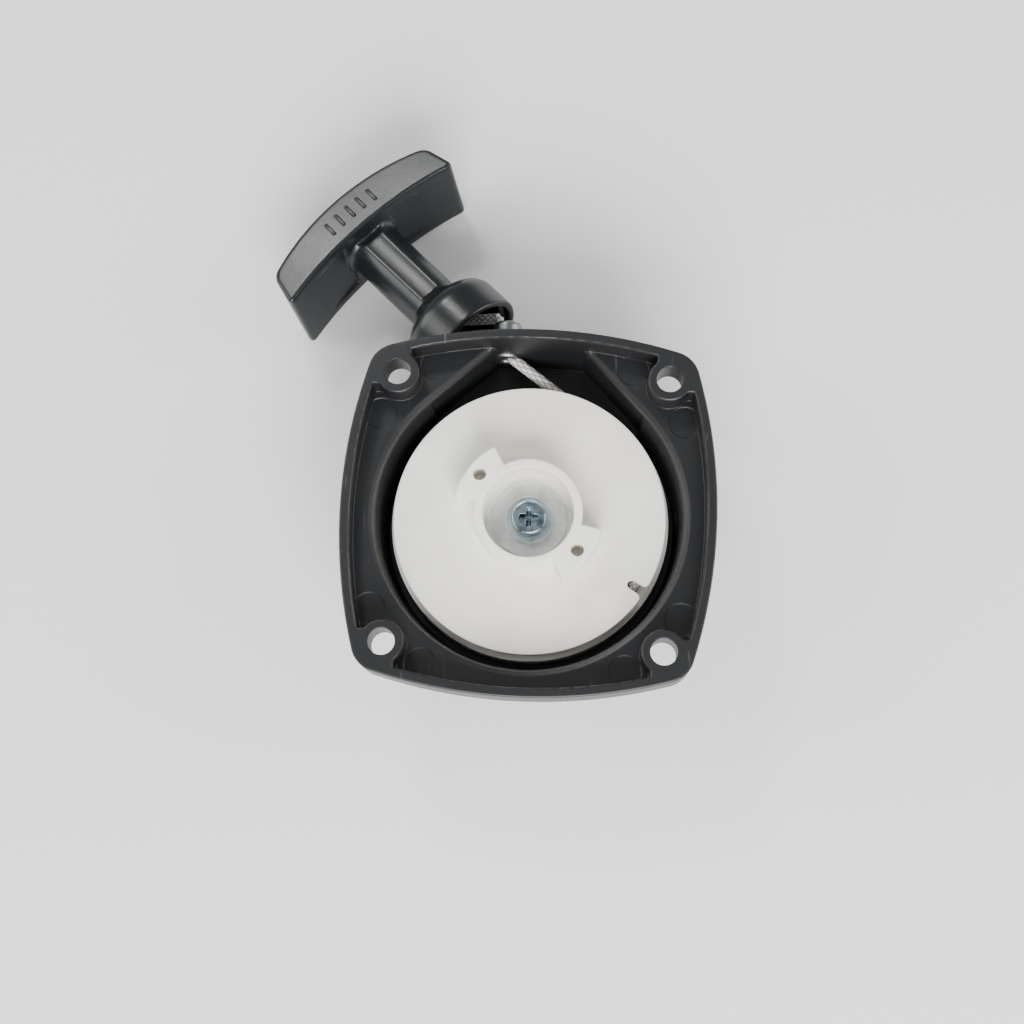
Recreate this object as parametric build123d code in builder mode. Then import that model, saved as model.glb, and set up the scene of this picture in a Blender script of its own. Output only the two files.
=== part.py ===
from build123d import *
from math import acos, atan2, cos, hypot, radians, sin, sqrt, tan
import os

# Recoil starter of a small two-stroke engine, in millimetres.
# The mounting face is the plane z = 0, the reel's axis is Z, and +Z points at the engine.

os.makedirs("parts", exist_ok=True)

# ---------------------------------------------------------------- driving sizes

# housing
half_width = 49.0  # from the axis to the middle of each side
side_radius = 138.0  # of the convex sides
corner_radius = 8.0
bolt_pitch = 72.0
bolt_hole_radius = 3.5
boss_radius = 5.8
boss_blend = 1.5  # where a boss meets its corner pad
pad_reach = 3.4  # how far a corner pad goes past its hole
spotface_radius = 6.0
spotface_depth = 1.2
flange_depth = 10.0
pocket_depth = 7.5
rim_wall = 2.6
shell_wall = 2.5
well_radius = 41.0  # at the mouth of the well
well_taper = 5.0  # degrees
well_edge = 1.6  # rounding of the well's mouth, cut as two bevels
rim_edge = 0.5
drum_depth = 31.0  # mounting face to the back of the drum
drum_taper = 2.0  # degrees
dome_radius = 34.2
dome_taper = 4.0  # degrees
housing_depth = 45.0
dome_edge = 3.0
post_radius = 6.0
pin_mark_radius = 4.25
pin_mark_depth = 0.15
pin_mark_near = 26.5  # ejector pin marks, along the side
pin_mark_far = 40.6  # ejector pin marks, across the side
back_ring_radius = 22.0  # raised ring on the dome's back
back_ring_width = 2.0
back_recess_depth = 0.8

# rope room: a deep bay at the top of the well
bay_floor = 26.0
bay_mouth_left = -10.0
bay_mouth_right = 12.5
bay_overshoot = 6.0  # past the outline, where the plan is trimmed

# reel
rope_plane = -17.0
reel_radius = 36.35
back_flange_radius = 37.4
groove_room = 1.2  # beside the rope, over both its sides
groove_floor_radius = 22.2
reel_flange = 1.9
skirt_depth = 25.0  # mounting face to the end of the back flange's skirt
skirt_wall = 1.8
hub_ring_wall = 2.3
hub_ring_room = 2.0  # round the retaining washer
hub_ring_top = -3.7
core_radius = 10.0
web_thickness = 2.4
seat_drop = 1.0  # groove's front wall to the seat of the retaining washer
reel_wall = 2.4
reel_ribs = 6
reel_rib_wall = 1.6
reel_edge = 0.4
notch_angle = -31.0
notch_width = 2.5
notch_floor_radius = 31.3
notch_flare = 1.4

# drive dogs
dog_radius = 19.8
dog_span = 49.3  # degrees
dog_middle = 143.55  # degrees
dog_core_radius = 1.75
dog_core_place = 16.4
dog_core_depth = 7.0

# retaining hardware
retainer_radius = 10.0
retainer_thickness = 1.5
flat_washer_radius = 6.4
flat_washer_thickness = 1.0
washer_edge = 0.15
screw_radius = 2.5
screw_length = 16.0
screw_head_radius = 4.75
screw_head_height = 3.3
screw_head_round = 0.8
recess_span = 5.2
recess_slot = 1.5
recess_middle = 1.2  # radius at the cross's middle
recess_depth = 2.2
recess_taper = 12.0  # degrees
insert_wall = 1.0
insert_length = 14.0

# recoil spring and its case
case_wall = 0.8
case_lip = 2.6
spring_thickness = 0.5
spring_width = 7.0
spring_room = 1.6  # between the reel's core and the innermost turn
spring_step = 0.56  # growth of the radius over half a turn
spring_half_turns = 30
spring_eccentric = 0.28  # keeps the turns centred on the post

# rope
rope_radius = 1.5
rope_turn_radius = 32.7  # middle of the outermost turn
rope_leave_angle = 56.1  # degrees from +X, where the rope leaves the reel
outer_turn_sweep = 300.0  # degrees of the outermost turn
knot_radius = 3.4
reel_knot_angle = 200.0  # degrees
reel_knot_place = 16.2
rope_stub = 0.5  # of the rope past its last bend round the guide

# rope guide, pressed into a boss on the top wall
guide_x = -8.2
guide_lip_radius = 1.15
guide_tip_out = 7.0  # past the middle of the housing's side
guide_boss_radius = 5.9
guide_boss_out = 2.0
guide_collar_radius = 5.2
guide_collar = 1.0

# handle, in its own axes: u along the pull, v along the grip, w across it
handle_heading = 44.5  # degrees from -X towards +Y
handle_droop = 9.0  # degrees that its far end hangs below the rope
handle_roll = 1.0  # degrees
mouth_x = -17.5  # middle of the cup's mouth
mouth_out = 2.9
mouth_z = -22.9
handle_length = 57.1  # cup's mouth to the middle of the grip's back
grip_outer_chord = 57.5
grip_inner_chord = 62.0
grip_outer_radius = 73.0
grip_middle = 12.3
grip_end = 10.6
grip_breadth = 26.0
finger_step = 3.2  # band left along the grip's faces
finger_recess = 1.1
finger_bridge = 8.2  # half the width of the middle that isn't recessed
grip_corner = 1.6
stem_radius = 8.1
cup_radius = 15.0
cup_length = 11.2
cup_back = 1.4  # rounding at the cup's back
cup_flare_end = 15.2
cup_wall = 2.2
cup_step = 2.6
cup_step_wall = 1.5
cup_depth = 10.6
bore_mouth_radius = 4.0
knot_pocket_room = 1.6
knot_pocket_depth = 8.0

# clearances
running = 0.06
axial = 0.3
loose = 0.15
rope_gap = 0.1

# ---------------------------------------------------------------- places worked out

hole_place = bolt_pitch / 2
bay_top = half_width - rim_wall
guide_inner_y = bay_top
guide_tip_y = half_width + guide_tip_out
guide_boss_y = half_width + guide_boss_out
groove_width = 2 * rope_radius + groove_room
guide_bore_radius = rope_radius + loose
handle_bore_radius = rope_radius + axial
knot_pocket_radius = knot_radius + knot_pocket_room
insert_radius = screw_radius + insert_wall
hub_ring_inner = retainer_radius + hub_ring_room
hub_ring_outer = hub_ring_inner + hub_ring_wall
spring_inner_radius = core_radius + spring_room
pad = half_width - hole_place  # solid corner outside each mounting hole
pad_middle = hole_place + pad / 2
pad_shift = hole_place + (pad - pad_reach) / 2
groove_top = rope_plane + groove_width / 2
groove_bottom = rope_plane - groove_width / 2
disc_face = groove_top + reel_flange
back_flange_face = groove_bottom - reel_flange
washer_seat = groove_top - seat_drop
drum_floor = -(drum_depth - shell_wall)
dome_floor = -(housing_depth - shell_wall)
case_outer_radius = dome_radius - shell_wall - tan(radians(dome_taper)) * (housing_depth - drum_depth) - loose
case_floor = dome_floor + loose
spring_bottom = case_floor + case_wall + axial
core_end = spring_bottom
shoulder = washer_seat - axial
guide_radius = guide_bore_radius + 2 * guide_lip_radius
retainer_top = washer_seat + retainer_thickness
flat_washer_top = retainer_top + flat_washer_thickness
screw_head_top = flat_washer_top + screw_head_height
rope_heading = rope_leave_angle + 90.0


def unit(x, y, z=0.0):
    """A vector of length one."""
    return Vector(x, y, z).normalized()


leave_point = Vector(
    rope_turn_radius * cos(radians(rope_leave_angle)),
    rope_turn_radius * sin(radians(rope_leave_angle)),
    rope_plane,
)
run_direction = unit(cos(radians(rope_heading)), sin(radians(rope_heading)))
run_length = (guide_x - leave_point.X) / run_direction.X
guide_corner = leave_point + run_direction * run_length
tip_centre_y = guide_tip_y - guide_lip_radius
guide_bend = guide_bore_radius + guide_lip_radius

heading = radians(handle_heading)
droop = radians(handle_droop)
roll = radians(handle_roll)
pull_axis = unit(-cos(heading), sin(heading))
handle_u = unit(-cos(heading) * cos(droop), sin(heading) * cos(droop), -sin(droop))
level_v = Vector(0, 0, 1).cross(handle_u).normalized()
level_w = handle_u.cross(level_v)
handle_v = level_v * cos(roll) + level_w * sin(roll)
handle_w = level_w * cos(roll) - level_v * sin(roll)
mouth = Vector(mouth_x, half_width + mouth_out, mouth_z)
rope_pivot = mouth + handle_u * cup_depth
tip_corner = Vector(guide_x, guide_tip_y + guide_bore_radius, rope_plane)


def square_outline(sketch, inset):
    """Draws the square with convex sides, inset all round, in an open sketch."""
    reach = side_radius - half_width
    centres = [(0, -reach), (0, reach), (-reach, 0), (reach, 0)]
    for index, centre in enumerate(centres):
        with Locations(centre):
            Circle(side_radius - inset, mode=Mode.ADD if index == 0 else Mode.INTERSECT)
    fillet(sketch.vertices(), corner_radius - inset)


def bay_foot(mouth_x, side):
    """Where a line from a top corner of the rope room touches the well's wall."""
    turn = acos(well_radius / hypot(mouth_x, bay_top))
    angle = atan2(bay_top, mouth_x) + side * turn
    return well_radius * cos(angle), well_radius * sin(angle)


def bay_outline(grow):
    """Draws the rope room's plan, grown by a wall, in an open sketch."""
    feet = (bay_foot(bay_mouth_left, 1), bay_foot(bay_mouth_right, -1))
    rise = bay_overshoot + rim_wall
    corners = []
    for (foot_x, foot_y), mouth_x, side in zip(feet, (bay_mouth_left, bay_mouth_right), (-1, 1)):
        slope = (mouth_x - foot_x) / (bay_top - foot_y)
        shift = side * grow * hypot(1, slope)
        corners.append(((foot_x + shift, foot_y), (mouth_x + shift + slope * rise, bay_top + rise)))
    Polygon(corners[0][0], corners[0][1], corners[1][1], corners[1][0], (0, 0), align=None)


def on_boss(corner):
    """True for a corner where a boss meets its pad."""
    away = hypot(abs(corner.X) - hole_place, abs(corner.Y) - hole_place)
    return abs(away - boss_radius) < running


def is_hole(edge):
    """True for the rim of a mounting hole or of an ejector pin's mark."""
    return edge.geom_type == GeomType.CIRCLE and edge.radius < boss_radius - running


# ---------------------------------------------------------------- housing

with BuildPart() as housing:
    with BuildSketch(Plane.XY) as plate:
        square_outline(plate, 0)
    extrude(amount=-flange_depth)
    with BuildSketch(Plane.XY):
        Circle(well_radius + shell_wall)
    extrude(amount=-drum_depth, taper=drum_taper)
    with BuildSketch(Plane.XY.offset(-drum_depth + shell_wall)):
        Circle(dome_radius)
    extrude(amount=-(housing_depth - drum_depth + shell_wall), taper=dome_taper)
    fillet(housing.edges().group_by(Axis.Z)[0], dome_edge)
    # walls of the rope room, below the flange
    with BuildSketch(Plane.XY.offset(-flange_depth)) as bay_shell:
        bay_outline(shell_wall)
        with BuildSketch(mode=Mode.INTERSECT) as bay_limit:
            square_outline(bay_limit, 0)
    extrude(amount=-(bay_floor + shell_wall - flange_depth))
    # boss outside the top wall for the rope guide
    with BuildSketch(Plane(origin=(guide_x, guide_inner_y, rope_plane), z_dir=(0, 1, 0))):
        Circle(guide_boss_radius)
    extrude(amount=guide_boss_y - guide_inner_y)
    # pocket behind the mounting face, round the screw bosses
    with BuildSketch(Plane.XY) as pocket:
        square_outline(pocket, rim_wall)
        for across in (-1, 1):
            for along in (-1, 1):
                with Locations((across * hole_place, along * hole_place)):
                    Circle(boss_radius, mode=Mode.SUBTRACT)
                with Locations((across * pad_middle, along * pad_shift)):
                    Rectangle(pad, pad + pad_reach, mode=Mode.SUBTRACT)
                with Locations((across * pad_shift, along * pad_middle)):
                    Rectangle(pad + pad_reach, pad, mode=Mode.SUBTRACT)
        fillet(pocket.vertices().filter_by(lambda corner: on_boss(corner)), boss_blend)
    extrude(amount=-pocket_depth, mode=Mode.SUBTRACT)
    # well, and the dome's room for the spring case
    with BuildSketch(Plane.XY.offset(-pocket_depth)):
        Circle(well_radius)
    extrude(amount=-(drum_depth - shell_wall - pocket_depth), taper=well_taper, mode=Mode.SUBTRACT)
    with BuildSketch(Plane.XY.offset(drum_floor)):
        Circle(case_outer_radius + loose)
    extrude(amount=dome_floor - drum_floor, mode=Mode.SUBTRACT)
    # rope room
    with BuildSketch(Plane.XY.offset(-pocket_depth)) as bay:
        bay_outline(0)
        with BuildSketch(mode=Mode.INTERSECT) as bay_inside:
            square_outline(bay_inside, rim_wall)
        Circle(groove_floor_radius, mode=Mode.SUBTRACT)
    extrude(amount=-(bay_floor - pocket_depth), mode=Mode.SUBTRACT)
    # rounded mouth of the well and the rope room, as a shallow and a steep bevel
    for lean in (67.5, 22.5):
        share = tan(radians(lean)) if lean < 45 else 1
        with BuildSketch(Plane.XY.offset(-pocket_depth)):
            Circle(well_radius + share * well_edge)
        extrude(amount=-well_edge, taper=lean, mode=Mode.SUBTRACT)
        with BuildSketch(Plane.XY.offset(-pocket_depth)):
            bay_outline(share * well_edge)
            with BuildSketch(mode=Mode.INTERSECT) as bay_mouth:
                square_outline(bay_mouth, rim_wall)
            Circle(groove_floor_radius, mode=Mode.SUBTRACT)
        extrude(amount=-well_edge, taper=lean, mode=Mode.SUBTRACT)
    # central post
    with BuildSketch(Plane.XY.offset(dome_floor)):
        Circle(post_radius)
    extrude(amount=washer_seat - dome_floor)
    # hole that the rope guide is pressed into
    with BuildSketch(Plane(origin=(guide_x, guide_inner_y - 2 * guide_lip_radius, rope_plane), z_dir=(0, 1, 0))):
        Circle(guide_radius)
    extrude(amount=guide_boss_y, mode=Mode.SUBTRACT)
    # mounting holes and their spot faces
    with BuildSketch(Plane.XY):
        with GridLocations(bolt_pitch, bolt_pitch, 2, 2):
            Circle(bolt_hole_radius)
    extrude(amount=-flange_depth, mode=Mode.SUBTRACT)
    with BuildSketch(Plane.XY.offset(-flange_depth)):
        with GridLocations(bolt_pitch, bolt_pitch, 2, 2):
            Circle(spotface_radius)
    extrude(amount=spotface_depth, mode=Mode.SUBTRACT)
    # ejector pin marks in the pocket floor
    with BuildSketch(Plane.XY.offset(-pocket_depth)):
        for across in (-1, 1):
            for along in (-1, 1):
                with Locations(
                    (across * pin_mark_near, along * pin_mark_far),
                    (across * pin_mark_far, along * pin_mark_near),
                ):
                    Circle(pin_mark_radius)
    extrude(amount=-pin_mark_depth, mode=Mode.SUBTRACT)
    # seat of the threaded insert
    with BuildSketch(Plane.XY.offset(washer_seat)):
        Circle(insert_radius)
    extrude(amount=-insert_length, mode=Mode.SUBTRACT)
    # screw's run-out below the insert
    with BuildSketch(Plane.XY.offset(washer_seat)):
        Circle(screw_radius + loose)
    extrude(amount=-screw_length, mode=Mode.SUBTRACT)
    # shallow ring recessed in the dome's back
    with BuildSketch(Plane.XY.offset(-housing_depth)):
        Circle(back_ring_radius)
        Circle(back_ring_radius - back_ring_width, mode=Mode.SUBTRACT)
    extrude(amount=back_recess_depth, mode=Mode.SUBTRACT)
    # rounded rims
    face_rims = housing.edges().filter_by_position(Axis.Z, -0.01, 0.01)
    fillet(face_rims.filter_by(lambda edge: not is_hole(edge)), rim_edge)


# ---------------------------------------------------------------- rope guide

guide_plane = Plane(origin=(guide_x, 0, rope_plane), x_dir=(1, 0, 0), z_dir=(0, 0, 1))
with BuildPart() as rope_guide:
    with BuildSketch(guide_plane):
        with Locations((guide_bend, (guide_inner_y + tip_centre_y) / 2)):
            SlotOverall(tip_centre_y - guide_inner_y + 2 * guide_lip_radius, 2 * guide_lip_radius, rotation=90)
        with Locations(((guide_bend + guide_collar_radius) / 2, guide_boss_y + guide_collar / 2)):
            Rectangle(guide_collar_radius - guide_bend, guide_collar)
    revolve(axis=Axis((guide_x, 0, rope_plane), (0, 1, 0)))

# ---------------------------------------------------------------- retaining hardware

with BuildPart() as threaded_insert:
    with BuildSketch(Plane.XY.offset(washer_seat)):
        Circle(insert_radius)
        Circle(screw_radius, mode=Mode.SUBTRACT)
    extrude(amount=-insert_length)

with BuildPart() as retaining_washer:
    with BuildSketch(Plane.XY.offset(washer_seat)):
        Circle(retainer_radius)
        Circle(screw_radius + loose, mode=Mode.SUBTRACT)
    extrude(amount=retainer_thickness)
    chamfer(retaining_washer.edges().filter_by(GeomType.CIRCLE).sort_by(SortBy.RADIUS)[-2:], washer_edge)

with BuildPart() as flat_washer:
    with BuildSketch(Plane.XY.offset(retainer_top)):
        Circle(flat_washer_radius)
        Circle(screw_radius + loose, mode=Mode.SUBTRACT)
    extrude(amount=flat_washer_thickness)
    fillet(flat_washer.edges().filter_by(GeomType.CIRCLE).sort_by(SortBy.RADIUS)[-2:], washer_edge)

with BuildPart() as pivot_screw:
    with BuildSketch(Plane.XY.offset(flat_washer_top)):
        Circle(screw_radius)
    extrude(amount=-screw_length)
    with BuildSketch(Plane.XY.offset(flat_washer_top)):
        Circle(screw_head_radius)
    extrude(amount=screw_head_height)
    head_rim = pivot_screw.edges().filter_by(GeomType.CIRCLE).sort_by(Axis.Z)[-1]
    fillet(head_rim, screw_head_round)
    # cross recess with tapering walls
    with BuildSketch(Plane.XY.offset(screw_head_top)):
        Rectangle(recess_span, recess_slot)
        Rectangle(recess_slot, recess_span)
        Circle(recess_middle)
    extrude(amount=-recess_depth, taper=recess_taper, mode=Mode.SUBTRACT)

# ---------------------------------------------------------------- spring case and recoil spring

with BuildPart() as spring_case:
    with BuildSketch(Plane.XY.offset(case_floor)):
        Circle(case_outer_radius)
    extrude(amount=drum_floor - case_floor)
    with BuildSketch(Plane.XY.offset(drum_floor)):
        Circle(case_outer_radius + case_lip)
    extrude(amount=case_wall)
    with BuildSketch(Plane.XY.offset(case_floor + case_wall)):
        Circle(case_outer_radius - case_wall)
    extrude(amount=drum_floor - case_floor, mode=Mode.SUBTRACT)
    with BuildSketch(Plane.XY.offset(case_floor)):
        Circle(post_radius + loose)
    extrude(amount=case_wall, mode=Mode.SUBTRACT)
    # slot that holds the spring's outer hook
    with BuildSketch(Plane.XY.offset(spring_bottom - loose)):
        with Locations((case_outer_radius, 0)):
            Rectangle(4 * case_wall, spring_thickness + 2 * loose)
    extrude(amount=spring_width + 2 * loose, mode=Mode.SUBTRACT)

with BuildPart() as recoil_spring:
    with BuildSketch(Plane.XY.offset(spring_bottom)):
        for index in range(spring_half_turns):
            turn_radius = spring_inner_radius + spring_step * index
            centre = 0 if index % 2 == 0 else -spring_step
            start_angle = 180 if index % 2 == 0 else 0
            with BuildLine():
                CenterArc((centre + spring_eccentric, 0), turn_radius + spring_thickness / 2, start_angle, 180)
                CenterArc((centre + spring_eccentric, 0), turn_radius - spring_thickness / 2, start_angle, 180)
                for end in (-1, 1):
                    middle = centre + spring_eccentric + end * turn_radius
                    Line((middle - spring_thickness / 2, 0), (middle + spring_thickness / 2, 0))
            make_face()
    extrude(amount=spring_width)

# ---------------------------------------------------------------- reel



def is_core_rim(edge):
    """True for the rim of a dog's core hole."""
    return edge.geom_type == GeomType.CIRCLE and edge.radius < dog_core_radius + running


bore_radius = post_radius + running
pocket_outer = groove_floor_radius - reel_wall
pocket_top = shoulder - web_thickness
with BuildPart() as reel:
    with BuildSketch(Plane.XZ):
        with BuildLine():
            Polyline(
                (hub_ring_inner, hub_ring_top),
                (hub_ring_outer, hub_ring_top),
                (hub_ring_outer, disc_face),
                (reel_radius, disc_face),
                (reel_radius, groove_top),
                (groove_floor_radius, groove_top),
                (groove_floor_radius, groove_bottom),
                (back_flange_radius, groove_bottom),
                (back_flange_radius, -skirt_depth),
                (back_flange_radius - skirt_wall, -skirt_depth),
                (back_flange_radius - skirt_wall, back_flange_face),
                (pocket_outer, back_flange_face),
                (pocket_outer, pocket_top),
                (core_radius, pocket_top),
                (core_radius, core_end),
                (bore_radius, core_end),
                (bore_radius, shoulder),
                (hub_ring_inner, shoulder),
                close=True,
            )
        make_face()
    revolve(axis=Axis.Z)
    # drive dogs on the hub ring
    with BuildSketch(Plane.XY.offset(disc_face)):
        Circle(dog_radius)
        Circle((hub_ring_inner + hub_ring_outer) / 2, mode=Mode.SUBTRACT)
        with BuildSketch(mode=Mode.INTERSECT):
            for turn in (0, 180):
                reach = 2 * dog_radius
                first = radians(dog_middle + turn - dog_span / 2)
                last = radians(dog_middle + turn + dog_span / 2)
                Polygon(
                    (0, 0),
                    (reach * cos(first), reach * sin(first)),
                    (reach * cos(last), reach * sin(last)),
                    align=None,
                )
    extrude(amount=hub_ring_top - disc_face)
    with BuildSketch(Plane.XY.offset(hub_ring_top)):
        with PolarLocations(dog_core_place, 2, start_angle=dog_middle):
            Circle(dog_core_radius)
    extrude(amount=-dog_core_depth, mode=Mode.SUBTRACT)
    # rounded tops of the hub ring and the dogs, and rounded flange rims
    hub_top = reel.edges().filter_by_position(Axis.Z, hub_ring_top - 0.01, hub_ring_top + 0.01)
    fillet(hub_top.filter_by(lambda edge: not is_core_rim(edge)), reel_edge)
    # ribs in the pocket behind the disc
    with BuildSketch(Plane.XY.offset(back_flange_face)):
        Circle(pocket_outer + reel_edge)
        Circle(core_radius - reel_edge, mode=Mode.SUBTRACT)
        with BuildSketch(mode=Mode.INTERSECT):
            with PolarLocations(0, reel_ribs):
                Rectangle(2 * reel_radius, reel_rib_wall)
    extrude(amount=pocket_top - back_flange_face + reel_edge)
    # pocket for the rope's knot, and the hole from it to the groove
    knot_side = radians(reel_knot_angle)
    knot_centre = (reel_knot_place * cos(knot_side), reel_knot_place * sin(knot_side))
    with BuildSketch(Plane.XY.offset(back_flange_face)):
        with Locations(knot_centre):
            Circle(knot_radius + axial)
    extrude(amount=groove_top - back_flange_face, mode=Mode.SUBTRACT)
    with BuildSketch(Plane(origin=(*knot_centre, rope_plane), z_dir=(cos(knot_side), sin(knot_side), 0))):
        Circle(rope_radius + rope_gap)
    extrude(amount=groove_floor_radius - reel_knot_place + rope_radius, mode=Mode.SUBTRACT)
    # notch in the front flange, for taking up the rope
    notch = radians(notch_angle)
    notch_plane = Plane(origin=(0, 0, disc_face), x_dir=(cos(notch), sin(notch), 0), z_dir=(0, 0, 1))
    with BuildSketch(notch_plane):
        notch_end = notch_floor_radius + notch_width / 2
        with Locations((notch_end, 0)):
            Circle(notch_width / 2)
        with Locations(((notch_end + reel_radius + notch_flare) / 2, 0)):
            Rectangle(reel_radius + notch_flare - notch_end, notch_width)
    extrude(amount=-reel_flange, mode=Mode.SUBTRACT)
    mouth_edges = reel.edges().filter_by(Axis.Z).filter_by(
        lambda edge: abs(hypot(edge.center().X, edge.center().Y) - reel_radius) < 0.01
        and edge.center().Z > groove_top
    )
    fillet(mouth_edges, notch_flare)

# ---------------------------------------------------------------- rope

coil_outer = rope_turn_radius - rope_radius - rope_gap
coil_half = groove_width / 2 - rope_gap
with BuildPart() as rope_coil:
    with BuildSketch(Plane.XZ):
        with Locations(((groove_floor_radius + rope_gap + coil_outer) / 2, rope_plane)):
            RectangleRounded(coil_outer - groove_floor_radius - rope_gap, 2 * coil_half, rope_radius)
    revolve(axis=Axis.Z)

with BuildPart() as reel_knot:
    with Locations((*knot_centre, rope_plane - rope_radius)):
        Sphere(knot_radius - rope_gap)
    with BuildSketch(Plane(origin=(*knot_centre, rope_plane), z_dir=(cos(knot_side), sin(knot_side), 0))):
        Circle(rope_radius)
    extrude(amount=groove_floor_radius - reel_knot_place)
    with BuildSketch(Plane.XY.offset(back_flange_face)):
        Circle(3 * knot_radius + reel_knot_place)
    extrude(amount=-2 * knot_radius, mode=Mode.SUBTRACT)

tip_direction = (rope_pivot - tip_corner).normalized()
tip_turn = radians(Vector(0, 1, 0).get_angle(tip_direction))
rope_split = tip_corner + tip_direction * (guide_bend * tan(tip_turn / 2) + rope_stub)
with BuildPart() as rope_run:
    with BuildLine() as run_path:
        CenterArc((0, 0, rope_plane), rope_turn_radius, rope_leave_angle - outer_turn_sweep, outer_turn_sweep)
        FilletPolyline(leave_point, guide_corner, tip_corner, rope_split, radius=(guide_bend, guide_bend))
    with BuildSketch(Plane(origin=run_path.line @ 0, z_dir=run_path.line % 0)):
        Circle(rope_radius)
    sweep()

with BuildPart() as rope_lead:
    with BuildSketch(Plane(origin=rope_split, z_dir=tip_direction)):
        Circle(rope_radius)
    extrude(amount=(rope_pivot - rope_split).length)
    with Locations(rope_pivot):
        Sphere(rope_radius)

handle_bore_start = cup_depth + rope_radius + rope_gap
knot_floor = handle_length - knot_pocket_depth
with BuildPart() as handle_rope:
    with BuildSketch(Plane(origin=mouth + handle_u * handle_bore_start, z_dir=handle_u)):
        Circle(rope_radius)
    extrude(amount=knot_floor - handle_bore_start)

with BuildPart() as handle_knot:
    with Locations(mouth + handle_u * (knot_floor + knot_radius)):
        Sphere(knot_radius)

# ---------------------------------------------------------------- handle


def grip_arc(radius, across):
    """How far an arc of the given radius falls back at a distance from its middle."""
    return radius - sqrt(radius**2 - across**2)


grip_plane = Plane(origin=mouth, x_dir=handle_v, z_dir=handle_w * -1)
handle_axis = Axis(mouth, handle_u)
grip_front = handle_length - grip_middle
outer_half = grip_outer_chord / 2
inner_half = grip_inner_chord / 2
outer_end = handle_length - grip_arc(grip_outer_radius, outer_half)
inner_end = outer_end - grip_end
recess_end = inner_end + finger_recess
with BuildPart() as handle:
    with BuildSketch(grip_plane):
        with BuildLine():
            ThreePointArc((-outer_half, outer_end), (0, handle_length), (outer_half, outer_end))
            Line((outer_half, outer_end), (inner_half, inner_end))
            ThreePointArc((inner_half, inner_end), (0, grip_front), (-inner_half, inner_end))
            Line((-inner_half, inner_end), (-outer_half, outer_end))
        make_face()
    extrude(amount=grip_breadth / 2, both=True)
    fillet(handle.edges().filter_by(Axis((0, 0, 0), handle_w)), grip_corner)
    # finger recesses on each side of the stem
    with BuildSketch(grip_plane.offset(-grip_breadth / 2 + finger_step)):
        with BuildLine():
            ThreePointArc((-inner_half, recess_end), (0, grip_front + finger_recess), (inner_half, recess_end))
            Polyline(
                (inner_half, recess_end),
                (inner_half, inner_end - finger_recess),
                (-inner_half, inner_end - finger_recess),
                (-inner_half, recess_end),
            )
        make_face()
        with Locations((0, grip_front)):
            Rectangle(2 * finger_bridge, grip_middle, mode=Mode.SUBTRACT)
    extrude(amount=grip_breadth, mode=Mode.SUBTRACT)
    # stem and cup
    with BuildSketch(grip_plane):
        with BuildLine():
            Polyline(
                (0, cup_flare_end),
                (0, grip_front + grip_middle / 2),
                (stem_radius, grip_front + grip_middle / 2),
                (stem_radius, cup_flare_end),
                (cup_radius - cup_back, cup_length),
                (cup_radius, cup_length - cup_back),
                (cup_radius, 0),
                (0, 0),
                (0, cup_flare_end),
            )
        make_face()
    revolve(axis=handle_axis)
    with BuildSketch(grip_plane):
        with BuildLine():
            Polyline(
                (0, 0),
                (cup_radius - cup_wall, 0),
                (cup_radius - cup_wall, cup_step),
                (cup_radius - cup_wall - cup_step_wall, cup_step),
                (cup_radius - cup_wall - cup_step_wall, cup_depth),
                (0, cup_depth),
                close=True,
            )
        make_face()
    revolve(axis=handle_axis, mode=Mode.SUBTRACT)
    # bore for the rope with a countersunk mouth, and the knot's pocket in the grip's back
    with BuildSketch(Plane(origin=mouth, z_dir=handle_u)):
        Circle(handle_bore_radius)
    extrude(amount=handle_length, mode=Mode.SUBTRACT)
    with BuildSketch(grip_plane):
        Polygon(
            (0, cup_depth - loose),
            (bore_mouth_radius, cup_depth - loose),
            (0, cup_depth + bore_mouth_radius),
            align=None,
        )
    revolve(axis=handle_axis, mode=Mode.SUBTRACT)
    with BuildSketch(Plane(origin=mouth + handle_u * knot_floor, z_dir=handle_u)):
        Circle(knot_pocket_radius)
    extrude(amount=knot_pocket_depth, mode=Mode.SUBTRACT)

# ---------------------------------------------------------------- export

pieces = {
    "housing": housing,
    "rope_guide": rope_guide,
    "threaded_insert": threaded_insert,
    "retaining_washer": retaining_washer,
    "flat_washer": flat_washer,
    "pivot_screw": pivot_screw,
    "spring_case": spring_case,
    "recoil_spring": recoil_spring,
    "reel": reel,
    "rope_coil": rope_coil,
    "reel_knot": reel_knot,
    "rope_run": rope_run,
    "rope_lead": rope_lead,
    "handle_rope": handle_rope,
    "handle_knot": handle_knot,
    "handle": handle,
}
for name, piece in pieces.items():
    piece.part.label = name
    export_step(piece.part, f"parts/{name}.step")
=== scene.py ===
"""Visual model of a small engine's recoil starter, dressed over its CAD frame.

All places are in metres in the CAD's own frame: the mounting face is z = 0, the reel turns
about Z, and the starter lies on its back on the floor.
"""

import logging
import math
from dataclasses import dataclass
from enum import Enum

import bpy
from mathutils import Matrix, Vector

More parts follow.
